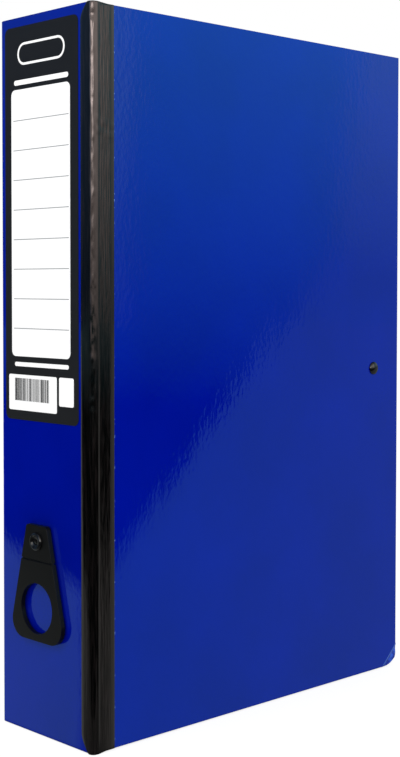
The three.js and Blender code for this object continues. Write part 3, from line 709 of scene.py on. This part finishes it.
def pullOutline():
    cornerU, cornerV = pull["spacing"] / 2, pull["bottom"] + pull["round"]
    topU, topV = pull["topWide"] / 2, pull["top"]
    span = math.hypot(cornerU - topU, cornerV - topV)
    heading = math.atan2(cornerV - topV, cornerU - topU) + math.asin(pull["round"] / span)
    reach = math.sqrt(span ** 2 - pull["round"] ** 2)
    flankU, flankV = topU + reach * math.cos(heading), topV + reach * math.sin(heading)
    flank = math.degrees(math.atan2(flankV - cornerV, flankU - cornerU))
    right = arc(cornerU, cornerV, pull["round"], -90, flank, 10)
    right += [(flankU + (topU - flankU) * t, flankV + (topV - flankV) * t) for t in (0.25, 0.5, 0.66, 0.82)]
    right += arc(topU - pull["topCornerSide"], topV - pull["topCorner"], pull["topCorner"], 10, 90, 5)
    left = [(-u, v) for u, v in reversed(right)]
    return [(pull["centre"] + u, v) for u, v in right + left]


def makePull():
    back = spineOuter - pull["standOff"]
    front = back - pull["thick"]
    hole = circle(pull["centre"], pull["holeZ"], pull["hole"], 64)
    eye = circle(pullHole["x"], pullHole["z"], pullHole["round"], 32)
    shape = prism(pullOutline(), "y", front, back, [hole, eye])
    for t in (-1, -0.45, 0, 0.45, 1):
        cut(shape, (0, 0, pull["crease"] + pull["grooveWide"] * t), (0, 0, 1))
    for vertex in shape.verts:
        away = abs(vertex.co.z - pull["crease"]) / pull["grooveWide"]
        if away < 0.99:
            deep = pull["grooveDeep"] if vertex.co.y < (front + back) / 2 else -pull["grooveBack"]
            vertex.co.y += deep * (1 - away ** 2)
    ring = addPiece("ringPull", shape, plasticBlack, None, "black_plastic", "pull_tab", "pull_ring",
                    edge=(pull["edge"], 3, 55))
    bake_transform(ring)

    low, high = boxOf("pull_rivet")
    dished = ((0, 0.95), (1.1, 1.15), (2.2, 1.1), (2.75, 0.75), (3.15, 0.15), (3.5, 0), (3.9, 0.05),
              (4.4, 0.35), (4.72, 0.85))
    clinched = ((2, 0.7), (3.2, 0.65), (3.4, 0.35), (3.2, 0), (0, 0))
    seat = front - 0.1
    profile = [(r, low.y + d) for r, d in dished] + [(dished[-1][0], seat), (clinched[0][0], seat)]
    profile += [(r, high.y - d) for r, d in clinched]
    addPiece("pullRivet", turned(profile, "y", pullHole["x"], pullHole["z"]), rivetBlack, "tray",
             "black_rivet", "pull_rivet", angle=50)
    low, high = boxOf("pull_washer")
    rim = circle(pullHole["x"], pullHole["z"], pull["washer"])
    bore = circle(pullHole["x"], pullHole["z"], pull["washerHole"], 32)
    addPiece("pullWasher", prism(rim, "y", low.y, high.y, [bore]), zincSteel, "tray", "zinc_steel",
             "pull_washer", edge=(pull["washerEdge"], 2))


makePull()
print("ring pull made")

# Lid catch: bent steel hook under a domed rivet, with a push button in the fore-edge wall
catch = {"bend": 1.4, "steel": 0.8, "tongue": 1.5, "edge": 0.15, "plateCorner": 2, "plateEdge": 0.4,
         "dish": 0.35, "collar": 5.9, "collarBore": 4.75, "dome": 3.75, "clinch": 3.2, "shank": 1.8,
         "button": 4.5, "flange": 6.5}


def makeHook():
    low, high = boxOf("lid_catch_hook")
    steel, bend = catch["steel"], catch["bend"]
    tongueY = high.y - catch["tongue"]
    strip = [(high.x, low.y)] + arc(high.x - bend, tongueY - bend, bend, 0, 90, 6)
    strip += [(low.x + steel, tongueY), (low.x + steel, high.y), (low.x, high.y)]
    strip += arc(low.x + bend, tongueY - steel + bend, bend, 180, 270, 6)
    strip += arc(high.x - bend, tongueY - bend, bend - steel, 90, 0, 6) + [(high.x - steel, low.y)]
    hook = newObject("catchHook", prism(strip, "z", low.z, high.z))
    bore = catchSpot["round"]
    bit = [(0, high.x - 3), (bore, high.x - 3), (bore, high.x + 1), (0, high.x + 1)]
    drill = newObject("drill", turned(bit, "x", catchSpot["y"], catchSpot["z"], 24))
    pierced = hook.modifiers.new("hole", "BOOLEAN")
    pierced.object, pierced.operation = drill, "DIFFERENCE"
    applyModifiers(hook)
    bpy.data.objects.remove(drill)
    soften(hook, catch["edge"], 2, 50)
    finishPiece(hook, zincSteel, "lid", "zinc_steel", "lid_catch_hook")


def makeCatch():
    makeHook()
    low, high = boxOf("lid_catch_rivet")
    seat, clinch = lidOuter + 0.05, low.x + 0.6
    dome, under, shank = catch["dome"], catch["clinch"], catch["shank"]
    profile = [(0, low.x), (under - 0.3, low.x), (under, low.x + 0.25), (under, clinch), (shank, clinch),
               (shank, seat), (dome - 0.05, seat)]
    for degrees in (0, 15, 30, 45, 60, 75):
        a = math.radians(degrees)
        profile.append((dome * math.cos(a), seat + 0.25 + (high.x - seat - 0.25) * math.sin(a)))
    profile.append((0, high.x))
    addPiece("catchRivet", turned(profile, "x", catchSpot["y"], catchSpot["z"]), rivetBlack, "lid",
             "black_rivet", "lid_catch_rivet", angle=50)

    low, high = boxOf("catch_plate")
    x, z, face = (low.x + high.x) / 2, (low.z + high.z) / 2, high.y
    buttonHole = circle(x, z, catchSpot["button"])
    plate = slab("catch_plate", "y", catch["plateCorner"], [buttonHole])
    addPiece("catchPlate", plate, plasticBlack, "tray", "black_plastic", "catch_plate",
             edge=(catch["plateEdge"], 3))
    bore, rim = catch["collarBore"], catch["collar"]
    profile = [(bore, face - 0.05), (bore, face + 0.25), (bore + 0.2, face + 0.4), (rim - 0.4, face + 0.4),
               (rim, face + 0.1), (rim, face - 0.05)]
    addPiece("catchCollar", turned(profile, "y", x, z), plasticBlack, "tray", "black_plastic", angle=40)

    low, high = boxOf("catch_button")
    dish, wide, flange = catch["dish"], catch["button"], catch["flange"]
    pad = ((0, dish), (2, dish * 0.75), (3.1, dish * 0.2), (3.6, 0), (4, 0.08), (4.35, 0.4), (wide, 0.8))
    stem = ((wide, 3.2), (flange - 0.2, 3.2), (flange, 3), (flange, 2.2), (flange - 0.2, 2), (wide, 2),
            (wide, 0.3), (wide - 0.3, 0), (0, 0))
    profile = [(r, high.y - d) for r, d in pad] + [(r, low.y + d) for r, d in stem]
    addPiece("catchButton", turned(profile, "y", x, z), plasticBlack, "catch_push", "black_plastic",
             "catch_button", angle=40)


makeCatch()
print("catch made")

# Paper clamp on the base: plate with two bent ears, a pin with two springs round it, a ribbed arm and a foot
clamp = {"plateCorner": 2.5, "plateEdge": 0.25, "ears": 11, "earWide": 13, "steel": 1.2, "earRound": 4.5,
         "pivotFrom": 14, "pin": 2, "pinHole": 2.1, "pinHead": 3.2, "rivetHead": 3.6, "hub": 4, "armWide": 12,
         "armEdge": 0.2, "drop": 8.05, "armThick": 1.5, "slope": 14, "length": 95, "wire": 0.9, "turns": 3,
         "gap": 0.35, "ribTall": 0.7, "ribWide": 2.6, "footWall": 1.9, "footLength": 17, "grip": 0.35,
         "gripStep": 3.2, "grips": 4, "footCorner": 1.9, "slotCorner": 0.4}


def pivot():
    low, high = boxOf("clamp_base")
    return high.x - clamp["earRound"], low.y + clamp["pivotFrom"]


def makeClampBase():
    low, high = boxOf("clamp_base")
    z, plateTop = clampSpot["z"], low.x + clamp["steel"]
    pivotX, pivotY = pivot()
    plate = prism(roundedOutline(low.y, high.y, low.z, high.z, clamp["plateCorner"]), "x", low.x, plateTop,
                  clampHoles)
    ears = []
    for side in (-1, 1):
        near, far = sorted((z + side * clamp["ears"], z + side * (clamp["ears"] + clamp["steel"])))
        ear = [(plateTop - 0.3, pivotY + turn * clamp["earWide"] / 2) for turn in (1, -1)]
        ear += arc(pivotX, pivotY, clamp["earRound"], -80, 80, 14)
        ears.append(prism(ear, "z", near, far, [circle(pivotX, pivotY, clamp["pinHole"], 24)]))
    addPiece("clampBase", joinShapes(plate, *ears), zincSteel, "tray", "zinc_steel", "clamp_base",
             edge=(clamp["plateEdge"], 2, 50))

    wide = clamp["rivetHead"]
    for n in (1, 2):
        low, high = boxOf(f"clamp_rivet_{n}")
        under, over = low.x + 0.9, high.x - 0.9
        profile = [(0, low.x), (wide - 1.3, low.x + 0.05), (wide - 0.4, low.x + 0.35), (wide, low.x + 0.75),
                   (wide, under), (2, under), (2, over), (wide, over), (wide - 0.05, over + 0.25),
                   (wide - 0.5, high.x - 0.25), (wide - 1.4, high.x - 0.03), (0, high.x)]
        addPiece(f"clampRivet{n}", turned(profile, "x", (low.y + high.y) / 2, z, 32), zincSteel, "tray",
                 "zinc_steel", f"clamp_rivet_{n}", angle=50)
    low, high = boxOf("clamp_pin")
    thick, wide = clamp["pin"], clamp["pinHead"]
    headShape = ((0, 0), (wide - 0.6, 0.05), (wide - 0.1, 0.4), (wide, 1), (thick, 1))
    profile = [(r, low.z + d) for r, d in headShape] + [(r, high.z - d) for r, d in reversed(headShape)]
    addPiece("clampPin", turned(profile, "z", pivotX, pivotY, 32), zincSteel, "tray", "zinc_steel",
             "clamp_pin", angle=50)


def makeSpringTree():  # a coil round the pin with one straight leg down to the plate
    tree, given = startGroup("clampSpring", {
        "Centre": "Vector", "Turns": "Float", "Coil Radius": "Float", "Wire Radius": "Float",
        "Length": "Float", "Leg End": "Vector", "Leg Start": "Vector", "Material": "Material"})
    coil = addNode(tree, "GeometryNodeCurveSpiral", {
        "Resolution": 24, "Rotations": given["Turns"], "Start Radius": given["Coil Radius"],
        "End Radius": given["Coil Radius"], "Height": given["Length"]})
    placed = addNode(tree, "GeometryNodeTransform", {
        "Geometry": coil, "Translation": given["Centre"], "Rotation": (0, 0, -math.pi / 2)})
    leg = addNode(tree, "GeometryNodeCurvePrimitiveLine", {
        "Start": given["Leg Start"], "End": given["Leg End"]})
    both = tree.nodes.new("GeometryNodeJoinGeometry")
    tree.links.new(placed, both.inputs[0])
    tree.links.new(leg, both.inputs[0])
    ring = addNode(tree, "GeometryNodeCurvePrimitiveCircle", {
        "Resolution": 10, "Radius": given["Wire Radius"]})
    wire = addNode(tree, "GeometryNodeCurveToMesh", {
        "Curve": both.outputs[0], "Profile Curve": ring, "Fill Caps": True})
    smooth = addNode(tree, "GeometryNodeSetShadeSmooth", {"Geometry": wire, "Shade Smooth": True})
    painted = addNode(tree, "GeometryNodeSetMaterial", {"Geometry": smooth, "Material": given["Material"]})
    addNode(tree, "NodeGroupOutput", {0: painted})
    return tree


def makeSprings():
    pivotX, pivotY = pivot()
    half, tree = clamp["wire"] / 2, makeSpringTree()
    coilRound = clamp["pin"] + clamp["gap"] + half
    legY = pivotY - coilRound
    for n in (1, 2):
        low, high = boxOf(f"clamp_spring_{n}")
        legZ = low.z + half if n == 1 else high.z - half
        spring = growNodes(f"clampSpring{n}", tree, {
            "Centre": place(pivotX, pivotY, low.z + half), "Turns": float(clamp["turns"]),
            "Coil Radius": coilRound * mm, "Wire Radius": half * mm,
            "Length": (high.z - low.z - 2 * half) * mm, "Material": zincSteel,
            "Leg Start": place(pivotX, legY, legZ), "Leg End": place(low.x, legY, legZ)})
        finishPiece(spring, zincSteel, "tray", "zinc_steel", f"clamp_spring_{n}")


def makeArm():
    z = clampSpot["z"]
    pivotX, pivotY = pivot()
    under, top = pivotX - clamp["drop"], pivotX - clamp["drop"] + clamp["armThick"]
    slopeEnd, tip = pivotY + clamp["slope"], pivotY + clamp["length"]
    armLow, armHigh = z - clamp["armWide"] / 2, z + clamp["armWide"] / 2
    arm = prism([(pivotX - 3.9, pivotY + 0.3), (under, slopeEnd), (under, tip), (top, tip), (top, slopeEnd),
                 (pivotX - 2.2, pivotY + 3.1)], "z", armLow, armHigh)
    hub, bore = clamp["hub"], clamp["pinHole"]
    tube = turned([(bore, armLow), (hub, armLow), (hub, armHigh), (bore, armHigh)], "z", pivotX, pivotY, 32)
    ribEnd, half, ribTall = tip - clamp["footLength"], clamp["ribWide"] / 2, clamp["ribTall"]
    rib = loft([[(top - 0.2, y, z - wide), (top - 0.2, y, z + wide), (top + tall * 0.8, y, z + wide * 0.8),
                 (top + tall, y, z), (top + tall * 0.8, y, z - wide * 0.8)]
                for y, wide, tall in ((slopeEnd + 2, half * 0.4, 0.05), (slopeEnd + 5, half, ribTall),
                                      (ribEnd - 4, half, ribTall), (ribEnd - 1, half * 0.4, 0.05))])
    addPiece("clampArm", joinShapes(arm, tube, rib), zincSteel, "clamp", "zinc_steel", "clamp_arm",
             edge=(clamp["armEdge"], 2, 40))


def makeFoot():  # a hollow that ends at the arm's tip, then the outside with its grips
    low, high = boxOf("clamp_foot")
    wall, grip = clamp["footWall"], clamp["grip"]
    slotEnd = pivot()[1] + clamp["length"] + 0.1
    rows = [(slotEnd, wall), (low.y, wall), (low.y, 0.45), (low.y + 0.5, 0)]
    for n in range(clamp["grips"]):
        start = low.y + clamp["gripStep"] * (n + 1)
        rows += [(start + along, deep) for along, deep in ((0, 0), (0.7, grip), (1.5, grip), (2.2, 0))]
    rows += [(high.y - 0.9, 0), (high.y - 0.3, 0.3), (high.y, 0.9)]
    loops = []
    for y, inset in rows:
        corner = clamp["slotCorner"] if inset == wall else clamp["footCorner"] - inset / 2
        outline = roundedOutline(low.x + inset, high.x - inset, low.z + inset, high.z - inset, corner)
        loops.append([(u, y, v) for u, v in outline])
    addPiece("clampFoot", loft(loops), plasticBlack, "clamp", "black_plastic", "clamp_foot", angle=35)


makeClampBase()
makeSprings()
makeArm()
makeFoot()
print("clamp made")

# Stage: a white floor and surround, with one soft lamp for the lid and one for the spine. The gloss sees a
# studio instead: a bright ceiling, a dim far wall that is lit past slanting edges, a lit part of the floor
# and a tall lamp beside the camera. A field runs from a start to an end of its source, between two values
studio = {"surround": 0.82, "floorHalf": 6, "floorDrop": 0.0002, "floorPaint": 0.78, "floorPale": 0.3,
          "floorGlow": 0.78, "floorGloss": (0.34, 0.37, 0.36, 1), "clearOfCase": (-2, 4), "height": 0.2,
          "floorEdges": ((1.105, 241.0, 14, 0), (0.343, 262.0, 14, 0), (0.831, 140.5, 3, 0.55),
                         (0.792, 143.3, 3, 0.55)),
          "cool": (0.42, 0.88, 1, 1), "warm": (1, 0.96, 0.92, 1), "coolBehind": (0.45, 0.85, 1.5, 1),
          "coolSide": (0.8, 0.97, 1, 1), "ahead": 0.05, "wallEdges": ((1.1446, 1.1104), (0.198, 1.1431)),
          "lampTowards": (0.72, -0.695, 0),
          "fields": {"ceiling": ("z", -0.1, 0.2, 0.006, 1.03), "overhead": ("z", 0.35, 0.8, 1.0, 0.2),
                     "behind": ("x", -0.3, 0.3, 0.09, 1.0), "front": ("x", -0.3, 0.3, 0.0, 1.0),
                     "window": ("across", 0.65, 0.85, 2.7, 1.0), "facing": ("across", 0.835, 0.87, 1.0, 0.0),
                     "side": ("past", -0.02, 0.03, 0.0, 1.0), "opened": ("across", 1.45, 2.0, 0.38, 0.0),
                     "lamp": ("towards", 0.94, 0.975, 0.0, 9.0), "raised": ("z", 0.06, 0.2, 0.0, 1.0),
                     "under": ("z", 0.21, 0.26, 1.0, 0.0)},
          "lamps": {"lidLamp": {"at": (1.45, -0.35, 0.95), "aim": (0, 0.03, 0.2), "power": 13,
                                "size": (0.8, 1.2)},
                    "spineLamp": {"at": (-0.08, -0.78, 0.8), "aim": (0, -0.12, 0.26), "power": 2.3,
                                  "size": (0.4, 0.4)}}}


def rayKinds(tree):  # whether the gloss looks, and whether the camera does, also through what is clear
    path = tree.nodes.new("ShaderNodeLightPath").outputs
    return path["Is Glossy Ray"], addNode(tree, "ShaderNodeMath", {
        0: path["Is Camera Ray"], 1: path["Is Transmission Ray"]}, operation="MAXIMUM")


def makeFloor():
    shape = bmesh.new()
    bmesh.ops.create_grid(shape, x_segments=1, y_segments=1, size=studio["floorHalf"])
    mesh = bpy.data.meshes.new("floor")
    shape.to_mesh(mesh)
    shape.free()
    floor = bpy.data.objects.new("floor", mesh)
    floor.location.z = -studio["floorDrop"]
    bpy.context.scene.collection.objects.link(floor)
    material, tree, where = startMaterial("whiteFloor")
    # The lit part ends along two lines on the floor, and two more start its dim strip in front of the corner
    lit = None
    for slope, start, soft, low in studio["floorEdges"]:
        along = addNode(tree, "ShaderNodeVectorMath", {0: where, 1: (-slope, 1, 0)}, "Value",
                        operation="DOT_PRODUCT")
        edge = shift.y - slope * shift.x - start * mm
        light = addNode(tree, "ShaderNodeMapRange", {
            "Value": along, "From Min": edge - soft * mm, "From Max": edge + soft * mm, "To Min": low})
        lit = addNode(tree, "ShaderNodeMath", {0: lit, 1: light}, operation="MULTIPLY") if lit else light
    # No light comes from under the case
    aside = addNode(tree, "ShaderNodeVectorMath", {0: where, 1: shift}, operation="SUBTRACT")
    aside = addNode(tree, "ShaderNodeVectorMath", {0: aside}, operation="ABSOLUTE")
    half = (case["thick"] / 2 * mm, case["depth"] / 2 * mm, 0)
    aside = addNode(tree, "ShaderNodeVectorMath", {0: aside, 1: half}, operation="SUBTRACT")
    aside = addNode(tree, "ShaderNodeSeparateXYZ", {0: aside}).node.outputs
    clear = addNode(tree, "ShaderNodeMath", {0: aside["X"], 1: aside["Y"]}, operation="MAXIMUM")
    near, far = studio["clearOfCase"]
    clear = addNode(tree, "ShaderNodeMapRange", {"Value": clear, "From Min": near * mm, "From Max": far * mm})
    # Where the floor isn't lit, the gloss sees the studio past it
    away = addNode(tree, "ShaderNodeVectorMath", {0: where}, "Value", operation="LENGTH")
    below = addNode(tree, "ShaderNodeMath", {0: -studio["height"], 1: away}, operation="DIVIDE")
    source, start, end, low, high = studio["fields"]["ceiling"]
    beyond = addNode(tree, "ShaderNodeMapRange", {
        "Value": below, "From Min": start, "From Max": end, "To Min": low, "To Max": high})
    unlit = addNode(tree, "ShaderNodeMath", {0: 1.0, 1: lit}, operation="SUBTRACT")
    beyond = addNode(tree, "ShaderNodeMath", {0: beyond, 1: unlit}, operation="MULTIPLY")
    level = addNode(tree, "ShaderNodeMath", {0: lit, 1: clear}, operation="MULTIPLY")
    mirrored = addNode(tree, "ShaderNodeEmission", {"Color": studio["floorGloss"], "Strength": level})
    farther = addNode(tree, "ShaderNodeEmission", {"Color": studio["cool"], "Strength": beyond})
    mirrored = addNode(tree, "ShaderNodeAddShader", {0: mirrored, 1: farther})
    paint, pale = (addNode(tree, "ShaderNodeBsdfDiffuse", {"Color": (studio[tone],) * 3 + (1,)})
                   for tone in ("floorPaint", "floorPale"))
    glow = addNode(tree, "ShaderNodeEmission", {"Strength": studio["floorGlow"]})
    seen = addNode(tree, "ShaderNodeAddShader", {0: pale, 1: glow})
    glossy, direct = rayKinds(tree)
    first = addNode(tree, "ShaderNodeMixShader", {0: direct, 1: paint, 2: seen})
    second = addNode(tree, "ShaderNodeMixShader", {0: glossy, 1: first, 2: mirrored})
    addNode(tree, "ShaderNodeOutputMaterial", {"Surface": second})
    material.cycles.emission_sampling = "NONE"
    floor.data.materials.append(material)


def makeSurround():
    world = bpy.data.worlds.new("studio")
    bpy.context.scene.world = world
    world.use_nodes = True
    world.cycles.sampling_method = "NONE"
    tree = world.node_tree
    tree.nodes.clear()
    direction = addNode(tree, "ShaderNodeTexCoord", out="Generated")
    split = addNode(tree, "ShaderNodeSeparateXYZ", {0: direction}).node.outputs
    ahead = addNode(tree, "ShaderNodeMath", {0: split["X"], 1: studio["ahead"]}, operation="MAXIMUM")
    across, rise = (addNode(tree, "ShaderNodeMath", {0: split[k], 1: ahead}, operation="DIVIDE")
                    for k in "YZ")
    # The far wall is dim up to a slanting edge, past which it is lit
    low, high = (addNode(tree, "ShaderNodeMath", {0: rise, 1: slope, 2: start}, operation="MULTIPLY_ADD")
                 for slope, start in studio["wallEdges"])
    edge = addNode(tree, "ShaderNodeMath", {0: low, 1: high}, operation="MINIMUM")
    past = addNode(tree, "ShaderNodeMath", {0: across, 1: edge}, operation="SUBTRACT")
    towards = addNode(tree, "ShaderNodeVectorMath", {0: direction, 1: studio["lampTowards"]}, "Value",
                      operation="DOT_PRODUCT")
    sources = {"x": split["X"], "z": split["Z"], "across": across, "past": past, "towards": towards}
    fields = {}
    for name, (source, start, end, low, high) in studio["fields"].items():
        fields[name] = addNode(tree, "ShaderNodeMapRange", {
            "Value": sources[source], "From Min": start, "From Max": end, "To Min": low, "To Max": high})
    lights = []
    for name, *others in (("ceiling", "overhead", "behind", "window"), ("side", "opened"),
                          ("lamp", "raised", "under")):
        lights.append(fields[name])
        for other in others:
            factors = {0: lights[-1], 1: fields[other]}
            lights[-1] = addNode(tree, "ShaderNodeMath", factors, operation="MULTIPLY")
    ceiling, wall, beam = lights
    level = addNode(tree, "ShaderNodeMath", {0: ceiling, 1: wall}, operation="MAXIMUM")
    level = addNode(tree, "ShaderNodeMath", {0: level, 1: beam}, operation="ADD")
    glossy, direct = rayKinds(tree)
    colour = studio["cool"]
    for factor, before, after in ((fields["side"], None, studio["coolSide"]),
                                  (fields["facing"], None, studio["warm"]),
                                  (fields["front"], studio["coolBehind"], None),
                                  (glossy, (1, 1, 1, 1), None)):
        colour = addNode(tree, "ShaderNodeMix", {0: factor, 6: before or colour, 7: after or colour}, 2,
                         data_type="RGBA")
    level = addNode(tree, "ShaderNodeMix", {"Factor": glossy, "A": studio["surround"], "B": level})
    level = addNode(tree, "ShaderNodeMix", {"Factor": direct, "A": level, "B": 1.0})
    back = addNode(tree, "ShaderNodeBackground", {"Color": colour, "Strength": level})
    addNode(tree, "ShaderNodeOutputWorld", {"Surface": back})


def makeLamps():
    for name, lamp in studio["lamps"].items():
        data = bpy.data.lights.new(name, "AREA")
        data.shape, data.size, data.size_y, data.energy = "RECTANGLE", *lamp["size"], lamp["power"]
        item = bpy.data.objects.new(name, data)
        item.location = lamp["at"]
        item.rotation_euler = (Vector(lamp["aim"]) - item.location).to_track_quat("-Z", "Y").to_euler()
        item.visible_glossy = False
        bpy.context.scene.collection.objects.link(item)


makeFloor()
makeSurround()
makeLamps()
print("stage set")
